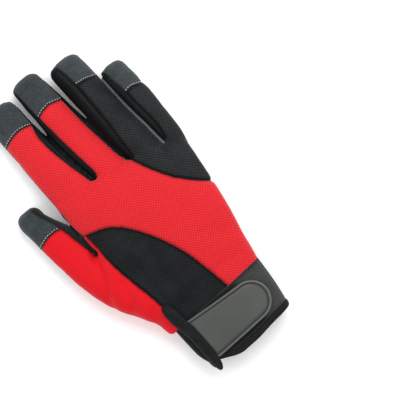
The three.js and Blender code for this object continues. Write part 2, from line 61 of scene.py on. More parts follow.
camera.rotation_euler = (0, 0, math.radians(camera_turn))
bpy.context.collection.objects.link(camera)
bpy.context.scene.camera = camera

# The glove's form. The panels of such a glove are cut flat and sewn inside out, and take this rounded shape
# once the glove is turned and filled out. Tubes for the hand, the mound and the digits are joined into one
# skin, which the seams then divide.
cuff_edge = np.array([3.446, -124.5, 0.0])
hand_rows = [  # y, left, right, bottom, top, and how far the ring leans
    (34, -37.5, 38.4, 1.0, 26.0, 0.0),
    (44, -38.0, 40.0, 1.0, 26.7, 0.0),
    (69, -40.6, 45.2, 0.8, 29.0, 0.0),
    (86, -41.8, 49.6, 0.6, 30.2, 0.0),
    (104, -42.4, 52.2, 0.6, 30.8, 0.03),
    (134, -42.6, 56.0, 1.0, 30.0, 0.1),
    (147, -42.4, 57.0, 2.2, 28.0, 0.16),
    (154, -42.0, 55.6, 4.4, 25.4, 0.19),
    (157, -38.0, 52.0, 7.0, 22.0, 0.2),
]
mound_rows = [  # from here on nothing leans
    (39, -36.0, -10, 3.4, 22.0),
    (41, -38.6, -10, 3.0, 22.6),
    (43, -41.6, -10, 2.8, 23.2),
    (46, -42.6, -10, 2.5, 23.8),
    (55, -44.4, -10, 1.6, 24.8),
    (66, -50.2, -14, 0.8, 26.0),
    (80, -57.6, -20, 0.4, 26.7),
    (90, -57.8, -23, 0.4, 26.6),
    (105, -51.6, -26, 0.8, 26.0),
    (119, -44.4, -26, 2.0, 24.0),
]
thumb_rows = [
    (72, -50.0, -27.0, 0.6, 23.0),
    (84, -59.6, -30.2, 0.2, 24.0),
    (95, -63.6, -33.5, 0.0, 24.0),
    (106, -66.0, -38.2, 0.0, 23.2),
    (117, -67.9, -42.2, 0.0, 21.6),
    (126, -68.9, -42.6, 0.0, 20.4),
    (137, -70.0, -43.0, 0.0, 19.2),
    (147, -70.8, -44.4, 0.0, 18.4),
    (153, -71.1, -47.4, 0.0, 17.8),
    (159, -71.3, -50.2, 0.0, 17.2),
    (166, -71.9, -53.0, 0.0, 16.2),
]
index_rows = [
    (124, -42.0, -8.4, 2.6, 22.6),
    (146, -42.6, -8.8, 2.8, 23.4),
    (160, -43.0, -9.6, 2.6, 23.3),
    (175, -43.0, -11.0, 2.2, 22.6),
    (192, -42.5, -12.6, 1.6, 21.3),
    (202, -42.1, -13.8, 1.2, 20.5),
    (211, -41.9, -15.3, 0.8, 19.6),
    (224, -41.7, -15.6, 0.3, 18.0),
    (235, -41.2, -15.4, 0.2, 16.4),
]
middle_rows = [
    (124, -7.4, 20.4, 2.6, 22.6),
    (146, -7.8, 20.0, 2.8, 23.4),
    (160, -8.6, 18.4, 2.6, 23.3),
    (175, -11.0, 17.2, 2.2, 22.6),
    (186, -12.4, 16.4, 1.8, 21.8),
    (194, -12.8, 15.6, 1.5, 21.2),
    (202, -12.6, 14.4, 1.2, 20.6),
    (214, -11.9, 13.0, 0.8, 19.6),
    (228, -12.3, 11.9, 0.4, 18.0),
    (239, -12.2, 11.0, 0.2, 16.4),
]
ring_rows = [
    (124, 21.0, 47.5, 4.2, 22.2),
    (145, 20.2, 46.6, 4.7, 23.4),
    (158, 18.6, 44.9, 4.6, 23.4),
    (172, 16.2, 43.5, 4.3, 22.8),
    (188, 15.4, 42.8, 3.8, 21.6),
    (198, 15.4, 42.9, 3.3, 20.6),
    (208, 15.1, 43.0, 2.8, 19.6),
    (220, 14.8, 43.2, 2.2, 18.2),
    (230, 14.6, 42.8, 1.8, 16.8),
]
little_rows = [
    (120, 34.0, 51.4, 3.4, 19.8),
    (140, 41.4, 58.2, 3.7, 20.8),
    (156, 42.6, 60.6, 3.6, 20.8),
    (172, 41.8, 62.2, 3.0, 19.6),
    (188, 42.4, 63.0, 2.0, 17.8),
    (205, 41.2, 62.8, 1.2, 15.6),
]
squareness = 2.4
tip_squareness = 3.0
seam_allowance = 0.45  # the tubes are drawn this much wider, for what the seams take back
voxel = 0.8


def curved(points, steps):
    """A smooth curve through the points, from the second to the last but one, in steps for each span."""
    t = (np.arange(steps) / steps)[:, None]
    spans = []
    for a, b, c, d in zip(points, points[1:], points[2:], points[3:]):
        spans.append(b + 0.5 * t * (c - a + t * (2 * a - 5 * b + 4 * c - d + t * (3 * b - a - 3 * c + d))))
    return np.vstack(spans)


def eased(rows, steps):
    """The table's rows with smooth curves through its columns, steps rows for each."""
    rows = np.array(rows, float)
    ends = np.vstack([2 * rows[0] - rows[1], rows, 2 * rows[-1] - rows[-2]])
    return np.vstack([curved(ends, steps), rows[-1:]])


def rounded(turn, power):
    """Across and up round a section that is a circle at power 1, and fuller below that."""
    c, s = np.cos(turn), np.sin(turn)
    return np.sign(c) * abs(c) ** power, np.sign(s) * abs(s) ** power


def swept_faces(rings, sides, flipped=False):
    """The faces of a body swept through rings of points: between the rings, then both ends."""
    faces = []
    for r in range(rings - 1):
        for k in range(sides):
            a, b = r * sides + k, r * sides + (k + 1) % sides
            faces.append((a, b, b + sides, a + sides) if flipped else (a, a + sides, b + sides, b))
    first, last = range(sides), range((rings - 1) * sides, rings * sides)
    return [*faces, tuple(first[::-1]), tuple(last)] if flipped else [*faces, tuple(first), tuple(last[::-1])]


def ring(row, sides, roll=0.0, size=1.0):
    """One cross-section: a rounded box, rolled about its middle."""
    y, left, right, bottom, top, lean = (*row, 0.0)[:6]
    across, up = rounded(2 * np.pi * np.arange(sides) / sides, 2 / squareness)
    across = across * ((right - left) / 2 + seam_allowance) * size
    up = up * (top - bottom) / 2 * size
    x = across * math.cos(roll) + up * math.sin(roll)
    z = up * math.cos(roll) - across * math.sin(roll)
    return np.column_stack([(left + right) / 2 + x, y - lean * x, (bottom + top) / 2 + z])


def tube(rows, sides, tip=None, roll=0.0, droop=0.15):
    """A closed tube through the rows. With a tip it gets a round end that reaches there, and droops."""
    rows = eased(rows, 6)
    rings = [ring(row, sides, roll) for row in rows]
    if tip is not None:
        last = rows[-1]
        for u in np.sin(np.linspace(0, np.pi / 2, 12))[1:]:
            size = max((1 - u**tip_squareness) ** (1 / tip_squareness), 0.04)
            end = ring([last[0] + u * (tip - last[0]), *last[1:]], sides, roll, size)
            end[:, 2] -= (last[4] - last[3]) / 2 * (1 - size) * droop
            rings.append(end)
    return np.vstack(rings), swept_faces(len(rings), sides)


def joined(parts):
    """Bodies that may run into one another, as one mesh."""
    points, faces, start = [], [], 0
    for part_points, part_faces in parts:
        points.append(part_points)
        faces += [tuple(i + start for i in face) for face in part_faces]
        start += len(part_points)
    return np.vstack(points), faces


def melted(points, faces, size):
    """One skin round bodies that run into one another, as points and triangles."""
    mesh = bpy.data.meshes.new("melted")
    mesh.from_pydata((points * 0.001).tolist(), [], faces)
    body = bpy.data.objects.new("melted", mesh)
    bpy.context.collection.objects.link(body)
    remesh = body.modifiers.new("remesh", "REMESH")
    remesh.mode = "VOXEL"
    remesh.voxel_size = size * 0.001
    skin = body.evaluated_get(bpy.context.evaluated_depsgraph_get()).to_mesh()
    skin.calc_loop_triangles()
    out = np.empty(len(skin.vertices) * 3)
    skin.vertices.foreach_get("co", out)
    triangles = np.empty(len(skin.loop_triangles) * 3, int)
    skin.loop_triangles.foreach_get("vertices", triangles)
    bpy.data.objects.remove(body)
    bpy.data.meshes.remove(mesh)
    return out.reshape(-1, 3) * 1000, triangles.reshape(-1, 3)


def edges_of(triangles):
    pairs = np.vstack([triangles[:, [0, 1]], triangles[:, [1, 2]], triangles[:, [2, 0]]])
    return np.unique(np.sort(pairs, axis=1), axis=0)


def averaged(values, edges):
    """Each point's mean over the points that it shares an edge with."""
    total = np.zeros_like(values)
    count = np.bincount(edges.ravel(), minlength=len(values))[:, None]
    for a, b in ((0, 1), (1, 0)):
        np.add.at(total, edges[:, a], values[edges[:, b]])
    return total / np.maximum(count, 1)


def relaxed(points, edges, rounds):
    """Takes the voxels' steps out and rounds the joins, and keeps the size."""
    for _ in range(rounds):
        for share in (0.6, -0.61):
            points = points + share * (averaged(points, edges) - points)
    return points


def normals_of(points, triangles):
    corners = points[triangles]
    flat = np.cross(corners[:, 1] - corners[:, 0], corners[:, 2] - corners[:, 0])
    out = np.zeros_like(points)
    for k in range(3):
        np.add.at(out, triangles[:, k], flat)
    return out / np.maximum(np.linalg.norm(out, axis=1), 1e-9)[:, None]


def smoothstep(x, low, high):
    t = np.clip((x - low) / (high - low), 0, 1)
    return t * t * (3 - 2 * t)


digits = [  # name, rows, where its tip reaches, and its roll in degrees
    ("thumb", thumb_rows, 176.8, 0),
    ("index", index_rows, 245.2, -10),
    ("middle", middle_rows, 248.6, 13),
    ("ring", ring_rows, 239.7, 36),
    ("little", little_rows, 215.0, 38),
]
hand_sides, digit_sides, skin_rounds = 96, 48, 12
bodies = [tube(hand_rows, hand_sides), tube(mound_rows, digit_sides)]
bodies += [tube(rows, digit_sides, tip, math.radians(roll)) for _, rows, tip, roll in digits]
skin_points, skin_triangles = melted(*joined(bodies), voxel)
skin_edges = edges_of(skin_triangles)
skin_points = relaxed(skin_points, skin_edges, skin_rounds)

# The seams. Each panel covers the part of the form that lies nearest to its solid, and the panels' shared
# edges are smoothed into the seam lines. At a seam both edges are turned in, so the surface dips there.
gussets = ["index_middle_gusset", "middle_ring_gusset", "ring_little_gusset"]
fingers = ["index", "middle", "ring", "little", "thumb"]
hand_panels = ["back_panel", "thumb_back_panel", "knuckle_mesh_panel", "wrist_mesh_panel", "palm_panel"]
hand_panels += ["thumb_palm_panel", *gussets, *(finger + "_tip_cap" for finger in fingers)]
hand_edge_y = 41.8  # the panels end here, sewn under the cuff's band
seam_reach = 5.0
strip_seams = {  # the two upper seams of each strip between fingers, in plan, from its crotch up
    "index_middle_gusset": (
        [(-8.6, 159.8), (-10.6, 161.5), (-11.6, 165.5), (-13.2, 172.5), (-14.8, 179.5), (-16.1, 186.5),
         (-17.2, 193.5), (-18.0, 200.5), (-18.0, 207.5), (-17.2, 212.5), (-16.0, 216.5), (-15.2, 221.5),
         (-14.2, 230), (-13.4, 252)],
        [(-6.6, 160.0), (-5.8, 161.5), (-5.5, 165.5), (-6.2, 172.5), (-6.8, 179.5), (-7.4, 186.5),
         (-8.0, 193.5), (-8.5, 200.5), (-8.9, 207.5), (-9.4, 214.5), (-9.8, 221.5), (-10.0, 230),
         (-10.2, 238), (-10.4, 252)],
    ),
    "middle_ring_gusset": (
        [(19.8, 153.0), (17.7, 157.0), (16.0, 161.6), (15.4, 166.0), (14.9, 172.5), (14.3, 179.5),
         (13.7, 186.5), (13.0, 193.5), (12.6, 200.5), (12.3, 207.5), (12.2, 214.5), (12.4, 221.5),
         (12.3, 229), (11.8, 238), (12, 252)],
        [(22.6, 154.6), (22.4, 158.5), (22.8, 164.5), (23.6, 171.5), (24.4, 179.5), (25.4, 193.5),
         (26.0, 207.5), (26.2, 218.5), (25.4, 227), (23.8, 236), (20.5, 241.5), (14, 252)],
    ),
    "ring_little_gusset": (
        [(45.6, 146.6), (45.2, 152.5), (45.0, 158.5), (44.7, 165.5), (44.0, 172.5), (43.6, 179.5),
         (43.3, 186.5), (43.2, 200.5), (43.0, 214.5), (43.0, 222), (44, 236)],
        [(46.6, 146.6), (48.0, 149.5), (48.8, 153.0), (49.8, 158.5), (50.0, 165.5), (49.6, 172.5),
         (49.0, 179.5), (48.6, 190), (47.8, 198.5), (46.8, 205), (46.6, 210), (46.4, 214.5), (45.5, 236)],
    ),
    "thumb_palm_panel": (
        [(-43.9, 117), (-45.4, 128.3), (-47.8, 141), (-50.7, 155), (-53.0, 161), (-56.0, 169), (-60, 182)],
        [(-43.0, 117), (-42.9, 128), (-42.8, 140), (-42.9, 148), (-43.4, 153), (-46, 182)],
    ),
}  # fmt: skip


def solid_tree(name):
    """A search tree on a node's surface, in this script's millimetres."""
    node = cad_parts[name]
    points = [Vector(np.array(node.matrix_world @ v.co) * 1000 - cuff_edge) for v in node.data.vertices]
    return BVHTree.FromPolygons(points, [tuple(p.vertices) for p in node.data.polygons])


def distances(points, name, reach):
    """How far each point lies from a node's surface, up to reach."""
    tree = solid_tree(name)
    low, high = (np.array(c) * 1000 - cuff_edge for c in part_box(name))
    out = np.full(len(points), reach)
    near = np.all((points > low - reach) & (points < high + reach), axis=1)
    for i in np.nonzero(near)[0]:
        gap = tree.find_nearest(points[i], reach)[3]
        if gap is not None:
            out[i] = gap
    return out


least_share = 0.12  # a cut stays this share of an edge away from its ends


def divided(points, triangles, fields):
    """Cuts triangles where another field becomes the lowest. Gives points, triangles and each one's field."""
    label = fields.argmin(axis=1)
    edges = edges_of(triangles)
    edges = edges[label[edges[:, 0]] != label[edges[:, 1]]]
    a, b = edges.T
    from_a = fields[a, label[b]] - fields[a, label[a]]
    from_b = fields[b, label[a]] - fields[b, label[b]]
    share = from_a / np.maximum(from_a + from_b, 1e-9)
    share = np.clip(share, least_share, 1 - least_share)[:, None]
    keys = a * len(points) + b
    out_points = [points, points[a] + share * (points[b] - points[a])]
    count = len(points) + len(a)

    def between(i, j):
        key = np.minimum(i, j) * len(points) + np.maximum(i, j)
        return len(points) + np.searchsorted(keys, key)

    names = label[triangles]
    same = (names[:, 0] == names[:, 1]) & (names[:, 1] == names[:, 2])
    kinds = [triangles[same]]
    labels = [names[same][:, 0]]
    for k in range(3):
        odd, left, right = names[:, k], names[:, (k + 1) % 3], names[:, (k + 2) % 3]
        cut = ~same & (left == right)
        v, p, q = (triangles[cut][:, (k + s) % 3] for s in range(3))
        vp, vq = between(v, p), between(v, q)
        kinds += [np.column_stack(t) for t in ((v, vp, vq), (vp, p, q), (vp, q, vq))]
        labels += [odd[cut], left[cut], left[cut]]
    corner = (names[:, 0] != names[:, 1]) & (names[:, 1] != names[:, 2]) & (names[:, 0] != names[:, 2])
    v = triangles[corner].T
    middle = count + np.arange(v.shape[1])
    mids = [between(v[k], v[(k + 1) % 3]) for k in range(3)]
    if v.shape[1]:
        stacked = np.vstack(out_points)
        out_points.append(sum(stacked[m] for m in mids) / 3)
    for k in range(3):
        kinds += [np.column_stack((v[k], mids[k], middle)), np.column_stack((v[k], middle, mids[k - 1]))]
        labels += [names[corner][:, k]] * 2
    return np.vstack(out_points), np.vstack(kinds), np.concatenate(labels)


def seam_edges(triangles, labels):
    """The edges between two labels, with both labels, the lower first."""
    pairs = np.sort(np.vstack([triangles[:, [0, 1]], triangles[:, [1, 2]], triangles[:, [2, 0]]]), axis=1)
    owner = np.tile(labels, 3)
    order = np.lexsort((owner, pairs[:, 1], pairs[:, 0]))
    pairs, owner = pairs[order], owner[order]
    twin = np.all(pairs[1:] == pairs[:-1], axis=1) & (owner[1:] != owner[:-1])
    return pairs[:-1][twin], np.column_stack([owner[:-1], owner[1:]])[twin]


def line_gap(places, line, closed=False):
    """The distance in plan from each place to a line of points."""
    line = np.array(line, float)
    starts, ends = (line, np.roll(line, -1, axis=0)) if closed else (line[:-1], line[1:])
    out = np.full(len(places), 1e9)
    for a, b in zip(starts, ends):
        t = np.clip(((places - a) @ (b - a)) / max((b - a) @ (b - a), 1e-9), 0, 1)[:, None]
        out = np.minimum(out, np.linalg.norm(places - a - t * (b - a), axis=1))
    return out


def inside(places, outline):
    """True for each place in plan that lies inside a closed outline."""
    x, y = places.T
    out = np.zeros(len(places), bool)
    for (ax, ay), (bx, by) in zip(outline, np.roll(outline, -1, axis=0)):
        crosses = (ay > y) != (by > y)
        out ^= crosses & (x < (bx - ax) * (y - ay) / (by - ay + 1e-12) + ax)
    return out


def depth_inside(places, outline):
    gap = line_gap(places, outline, closed=True)
    return np.where(inside(places, outline), gap, -gap)


fields = np.column_stack([distances(skin_points, name, seam_reach) for name in hand_panels])
upward = smoothstep(normals_of(skin_points, skin_triangles)[:, 2], -0.05, 0.25)  # 1 on the back
cap_found = 4.5  # farther from a cap than this, its distance isn't known
cap_overlaps = {"middle_tip_cap": 1.8, "ring_tip_cap": 2.4, "little_tip_cap": 3.0}  # down the finger
for node, overlap in cap_overlaps.items():
    gap = fields[:, hand_panels.index(node)]
    gap -= overlap * upward * (gap < cap_found)
for node, (left_seam, right_seam) in strip_seams.items():
    within = depth_inside(skin_points[:, :2], np.array(left_seam + right_seam[::-1], float))
    strip = hand_panels.index(node)
    others = np.arange(len(hand_panels)) != strip
    near = abs(within) < seam_reach
    near &= skin_points[:, 1] > left_seam[0][1] - seam_reach
    nearest_other = fields[near][:, others].min(axis=1)
    drawn = fields[near] - nearest_other[:, None] + np.maximum(within[near], 0)[:, None]
    drawn[:, strip] = np.maximum(-within[near], 0)
    fields[near] += upward[near, None] * (drawn - fields[near])
seam_under_middle = 0.6
front_from, front_to = 8, 4.5  # back from the tip
palm = hand_panels.index("palm_panel")
for name, rows, tip, roll in digits[1:4]:  # round the fronts of the three long fingers, cap meets palm
    cap = hand_panels.index(name + "_tip_cap")
    _, left, right, bottom, top = rows[-1]
    over = (skin_points[:, 0] - (left + right) / 2) * math.sin(math.radians(roll)) + seam_under_middle
    over += (skin_points[:, 2] - (bottom + top) / 2) * math.cos(math.radians(roll))
    drawn = np.full_like(fields, seam_reach)
    drawn[:, cap], drawn[:, palm] = np.clip(-over, 0, seam_reach), np.clip(over, 0, seam_reach)
    share = (1 - upward) * smoothstep(skin_points[:, 1], tip - front_from, tip - front_to)
    share *= fields[:, cap] < seam_reach
    fields += share[:, None] * (drawn - fields)
field_rounds, seam_rounds, last_rounds = 10, 6, 3
for _ in range(field_rounds):
    fields = (fields + averaged(fields, skin_edges)) / 2
under_cuff = fields.min(axis=1) + skin_points[:, 1] - hand_edge_y
skin_points, skin_triangles, panel_of = divided(
    skin_points, skin_triangles, np.column_stack([fields, under_cuff])
)
kept = panel_of < len(hand_panels)
skin_triangles, panel_of = skin_triangles[kept], panel_of[kept]
seams, seam_pairs = seam_edges(skin_triangles, panel_of)
along_seam = np.bincount(seams.ravel(), minlength=len(skin_points)) == 2
for _ in range(seam_rounds):
    skin_points[along_seam] = (skin_points[along_seam] + averaged(skin_points, seams)[along_seam]) / 2
skin_points = relaxed(skin_points, edges_of(skin_triangles), last_rounds)

groove_depths = {"tip_cap": 0.55, "gusset": 0.9, "knuckle": 1.1, "wrist": 1.2}
groove_depth = 0.9
groove_width = 1.15
groove_floor = 0.25  # half the width of a groove's flat floor
pillow_height = 0.5
pillow_reach = 5.0
creases = [  # side, depth, width, points; a negative depth is a ridge
    (1, 1.5, 2.8, [(-44.6, 121), (-49.4, 107), (-55.5, 94), (-58, 89)]),
    (1, -0.9, 3.0, [(-46.5, 112), (-51, 99), (-55, 86)]),
    (1, 0.9, 2.8, [(-52, 70), (-46, 78), (-42, 92)]),
    (1, -0.6, 3.0, [(-47, 60), (-42, 70), (-40, 82)]),
    (1, 0.6, 2.5, [(-42, 54), (-38.5, 64)]),
    (1, 0.5, 4.0, [(-4, 47), (12, 56), (30, 54)]),
    (1, 0.5, 5.0, [(34, 72), (20, 84), (24, 100)]),
    (1, 0.4, 3.5, [(-30, 168), (-20, 170), (-14, 176)]),
    (-1, 1.4, 2.6, [(-43, 121), (-36, 104), (-31, 84), (-27, 62)]),
    (-1, 1.0, 2.6, [(-40, 128), (-24, 122), (-2, 128)]),
    (-1, 0.9, 2.6, [(56, 118), (30, 112), (10, 121)]),
    (-1, 0.7, 2.2, [(-42, 176), (-13, 177)]),
    (-1, 0.7, 2.2, [(-12, 178), (14, 178)]),
    (-1, 0.7, 2.2, [(16, 174), (43, 173)]),
    (-1, 0.6, 2.0, [(-41, 204), (-15, 205)]),
    (-1, 0.6, 2.0, [(-11, 208), (12, 208)]),
    (-1, 0.6, 2.0, [(17, 202), (42, 202)]),
    (-1, 0.5, 2.0, [(43, 178), (62, 176)]),
    (-1, 0.6, 2.2, [(-67, 138), (-47, 140)]),
]


def groove_between(pair):
    words = hand_panels[pair[0]] + hand_panels[pair[1]]
    return next((depth for word, depth in groove_depths.items() if word in words), groove_depth)


seam_tree = KDTree(len(seams))
seam_middles = (skin_points[seams[:, 0]] + skin_points[seams[:, 1]]) / 2
seam_depths = [groove_between(pair) for pair in seam_pairs]
for k, point in enumerate(seam_middles):
    seam_tree.insert(point, k)
seam_tree.balance()
found = [seam_tree.find(p) for p in skin_points]
seam_gap = np.array([max(gap - groove_floor, 0.0) for _, _, gap in found])
depth = np.array([seam_depths[k] for _, k, _ in found])
push = -depth * np.exp(-((seam_gap / groove_width) ** 2))
push += pillow_height * (1 - np.exp(-((seam_gap / pillow_reach) ** 2))) - pillow_height / 2
skin_normals = normals_of(skin_points, skin_triangles)
for side, crease_depth, width, line in creases:
    reach = line_gap(skin_points[:, :2], line)
    facing = smoothstep(side * skin_normals[:, 2], -0.1, 0.5)
    push -= crease_depth * np.exp(-((reach / width) ** 2)) * facing
lumps = [(0.35, 16.0), (0.16, 7.0)]  # height and size of the fabric's unevenness
for height, size in lumps:
    push += height * np.array([noise.noise(Vector(p / size)) for p in skin_points])
skin_points = skin_points + skin_normals * push[:, None]
palm_level, digit_level, softness = 1.5, 0.15, 0.5
rest_level = digit_level + (palm_level - digit_level) * (
    (1 - smoothstep(skin_points[:, 1], 148, 160)) * smoothstep(skin_points[:, 0], -46, -38)
)
over = (skin_points[:, 2] - rest_level) / softness
skin_points[:, 2] = rest_level + softness * (np.maximum(over, 0) + np.log1p(np.exp(-abs(over))) - 0.2)


def mesh_piece(name, points, faces, material, seam_distance=None):
    """An object from points in this script's millimetres, smooth shaded."""
    mesh = bpy.data.meshes.new(name)
    mesh.from_pydata(((points + cuff_edge) * 0.001).tolist(), [], [tuple(map(int, f)) for f in faces])
    mesh.shade_smooth()
    mesh.materials.append(material)
    if seam_distance is not None:
        layer = mesh.attributes.new("seam_distance", "FLOAT", "POINT")
        layer.data.foreach_set("value", seam_distance)
    piece = bpy.data.objects.new(name, mesh)
    bpy.context.collection.objects.link(piece)
    return piece


cloth_thickness, patch_thickness = 1.3, 0.6


def thickened(piece, thickness):
    """Gives a piece the cloth's thickness on its inside."""
    cloth = piece.modifiers.new("cloth", "SOLIDIFY")
    cloth.thickness = thickness * 0.001
    cloth.offset = -1


def panel(name, node, material):
    """One panel cut from the skin."""
    triangles = skin_triangles[panel_of == hand_panels.index(node)]
    used, faces = np.unique(triangles, return_inverse=True)
    piece = mesh_piece(name, skin_points[used], faces.reshape(-1, 3), material, seam_gap[used])
    thickened(piece, cloth_thickness)
    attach(piece, "root")
    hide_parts(node)
    return piece


# The red panels: the back of the hand with the index and middle fingers, and the back of the thumb. They are
# a stretch knit bonded to thin foam, with a fine square grid that lies askew to the fingers.
def put(tree, kind, inputs=None, **settings):
    """A shader node with its settings, and its inputs as numbers or as other nodes' outputs."""
    node = tree.nodes.new(kind)
    for key, value in settings.items():
        setattr(node, key, value)
    for key, value in (inputs or {}).items():
        if isinstance(value, bpy.types.NodeSocket):
            tree.links.new(value, node.inputs[key])
        else:
            node.inputs[key].default_value = value
    return node


def maths(tree, operation, *values):
    return put(tree, "ShaderNodeMath", dict(enumerate(values)), operation=operation).outputs[0]


def times(tree, a, b):
    return maths(tree, "MULTIPLY", a, b)


def mixed(tree, share, low, high):
    """A colour between two, by a mask."""
    node = put(tree, "ShaderNodeMix", {0: share, 6: low, 7: high}, data_type="RGBA")
    return node.outputs[2]


def group(name, inputs, outputs):
    """An empty node group with named number inputs and outputs."""
    tree = bpy.data.node_groups.new(name, "ShaderNodeTree")
    for label, value in inputs.items():
        tree.interface.new_socket(label, in_out="INPUT", socket_type="NodeSocketFloat").default_value = value
    for label in outputs:
        tree.interface.new_socket(label, in_out="OUTPUT", socket_type="NodeSocketFloat")
    return tree, tree.nodes.new("NodeGroupInput"), tree.nodes.new("NodeGroupOutput")


def weave_group():
    """A square grid laid on from three sides: 0 on its lines and 1 in its cells."""
    tree, given, out = group("square weave", {"Pitch": 0.0015, "Turn": 0.7}, ["Cell"])
    place = put(tree, "ShaderNodeTexCoord").outputs["Object"]
    axes = put(tree, "ShaderNodeSeparateXYZ", {0: place}).outputs
    normal = put(tree, "ShaderNodeNewGeometry").outputs["Normal"]
    facing = put(tree, "ShaderNodeSeparateXYZ", {0: normal}).outputs
    turn, pitch = given.outputs["Turn"], given.outputs["Pitch"]
    cosine, sine = maths(tree, "COSINE", turn), maths(tree, "SINE", turn)
    total, weights = 0.0, 0.0
    for a, b, across in ((0, 1, 2), (1, 2, 0), (0, 2, 1)):
        u = maths(tree, "SUBTRACT", times(tree, axes[a], cosine), times(tree, axes[b], sine))
        v = maths(tree, "ADD", times(tree, axes[a], sine), times(tree, axes[b], cosine))
        cell = 1.0
        for way in (u, v):
            wave = maths(tree, "SINE", times(tree, maths(tree, "DIVIDE", way, pitch), math.pi))
            cell = times(tree, cell, times(tree, wave, wave))
        weight = maths(tree, "POWER", maths(tree, "ABSOLUTE", facing[across]), 5.0)
        total = maths(tree, "ADD", total, times(tree, cell, weight))
        weights = maths(tree, "ADD", weights, weight)
    tree.links.new(maths(tree, "DIVIDE", total, weights), out.inputs["Cell"])
    return tree


def seam_shade_group():
    """1 in a seam's groove, 0 away from it. It masks painted shade and shadow, and the tab border's painted
    highlight.
    """
    tree, given, out = group("seam shade", {"Width": 1.0}, ["Shade"])
    gap = put(tree, "ShaderNodeAttribute", attribute_name="seam_distance").outputs["Fac"]
    share = maths(tree, "DIVIDE", gap, given.outputs["Width"])
    fall = maths(tree, "EXPONENT", times(tree, times(tree, share, share), -1.0))
    tree.links.new(fall, out.inputs["Shade"])
    return tree


def mottle_group():
    """Cloud-like unevenness between 0 and 1, of a size in metres."""
    tree, given, out = group("mottle", {"Size": 0.01, "Contrast": 1.0}, ["Mottle"])
    place = put(tree, "ShaderNodeTexCoord").outputs["Object"]
    scale = maths(tree, "DIVIDE", 1.0, given.outputs["Size"])
    cloud = put(tree, "ShaderNodeTexNoise", {"Vector": place, "Scale": scale, "Detail": 3.0}).outputs[0]
    spread = times(tree, maths(tree, "SUBTRACT", cloud, 0.5), given.outputs["Contrast"])
    node = put(tree, "ShaderNodeMath", {0: spread, 1: 0.5}, operation="ADD", use_clamp=True)
    tree.links.new(node.outputs[0], out.inputs["Mottle"])
    return tree


square_weave, seam_shade, mottle = weave_group(), seam_shade_group(), mottle_group()


def placed(tree, kind, **values):
    """A node group in a material, with its own values, as its first output."""
    node = tree.nodes.new("ShaderNodeGroup")
    node.node_tree = kind
    for key, value in values.items():
        node.inputs[key].default_value = value
    return node.outputs[0]


def new_finish(name, roughness, sheen=0.0, sheen_roughness=0.4, specular=0.5):
    material = bpy.data.materials.new(name)
    material.use_nodes = True
    shader = material.node_tree.nodes["Principled BSDF"]
    shader.inputs["Roughness"].default_value = roughness
    shader.inputs["Sheen Weight"].default_value = sheen
    shader.inputs["Sheen Roughness"].default_value = sheen_roughness
    shader.inputs["Specular IOR Level"].default_value = specular
    return material, material.node_tree, shader


def dressed(tree, shader, colour, height, strength, distance):
    """Gives a finish its colour, and its relief from a height."""
    bump = put(tree, "ShaderNodeBump", {"Height": height, "Strength": strength, "Distance": distance})
    tree.links.new(bump.outputs[0], shader.inputs["Normal"])
    tree.links.new(colour, shader.inputs["Base Color"])


def srgb(red, green, blue):
    """A colour given in a picture's 0 to 255, as the shader takes it."""
    return (*(((v / 255 + 0.055) / 1.055) ** 2.4 if v > 10 else v / 3294 for v in (red, green, blue)), 1.0)


knit_pitch, thumb_pitch = 0.0017, 0.0012
askew = math.radians(50)


def knit_finish(name, pitch, cloud_size, line, low, high, relief, **finish):
    material, tree, shader = new_finish(name, **finish)
    cell = placed(tree, square_weave, Pitch=pitch, Turn=askew)
    fresh = mixed(tree, placed(tree, mottle, Size=cloud_size, Contrast=1.2), low, high)
    # Shade is painted into the seams' grooves: the red darkens to a deep red there.
    painted_seam_shade = times(tree, placed(tree, seam_shade, Width=0.8), 0.75)
    shaded = mixed(tree, painted_seam_shade, mixed(tree, cell, line, fresh), srgb(90, 4, 10))
    dressed(tree, shader, shaded, cell, *relief)
    return material


line, low, high = srgb(184, 12, 24), srgb(232, 28, 40), srgb(246, 42, 52)
finish = {"roughness": 0.72, "sheen": 0.25, "specular": 0.25}
red_knit = knit_finish("red knit", knit_pitch, 0.03, line, low, high, (0.45, 0.0004), **finish)
panel("red_back", "back_panel", red_knit)

line, low, high = srgb(200, 10, 24), srgb(206, 6, 22), srgb(216, 10, 26)
finish = {"roughness": 0.7, "sheen": 0.12, "specular": 0.15}
thumb_knit = knit_finish("red knit of the thumb", thumb_pitch, 0.02, line, low, high, (0.2, 0.0003), **finish)
panel("red_thumb", "thumb_back_panel", thumb_knit)

# The black mesh panels: over the outer knuckles with the backs of the ring and little fingers, and inset over
# the wrist. It is an open spacer mesh, whose threads catch the light in dots.
def mesh_finish(name, hole, low, high):
    material, tree, shader = new_finish(name, 0.75, sheen=0.06, specular=0.12)
    cell = placed(tree, square_weave, Pitch=knit_pitch, Turn=askew)
    thread = maths(tree, "SUBTRACT", 1.0, cell)
    cloud = placed(tree, mottle, Size=0.012, Contrast=1.6)
    lit = mixed(tree, cloud, low, high)
    # The threads' dots of light are a painted highlight over the near-black holes.
    netted = mixed(tree, maths(tree, "POWER", thread, 2.0), hole, lit)
    # Shade is painted near black into the seams' grooves.
    shaded = mixed(tree, placed(tree, seam_shade, Width=1.4), netted, srgb(3, 4, 4))
    # A painted highlight: a light line along the mesh's turned edge.
    highlight_share = put(tree, "ShaderNodeAttribute", attribute_name="edge_highlight").outputs["Fac"]
    dressed(tree, shader, mixed(tree, highlight_share, shaded, srgb(112, 116, 118)), thread, 0.6, 0.0005)
    return material


knuckle_mesh = mesh_finish("black mesh", srgb(8, 9, 10), srgb(28, 30, 31), srgb(48, 50, 51))
wrist_mesh = mesh_finish("black mesh of the wrist", srgb(5, 6, 7), srgb(16, 18, 20), srgb(36, 39, 41))
outer_mesh = panel("knuckle_mesh", "knuckle_mesh_panel", knuckle_mesh)
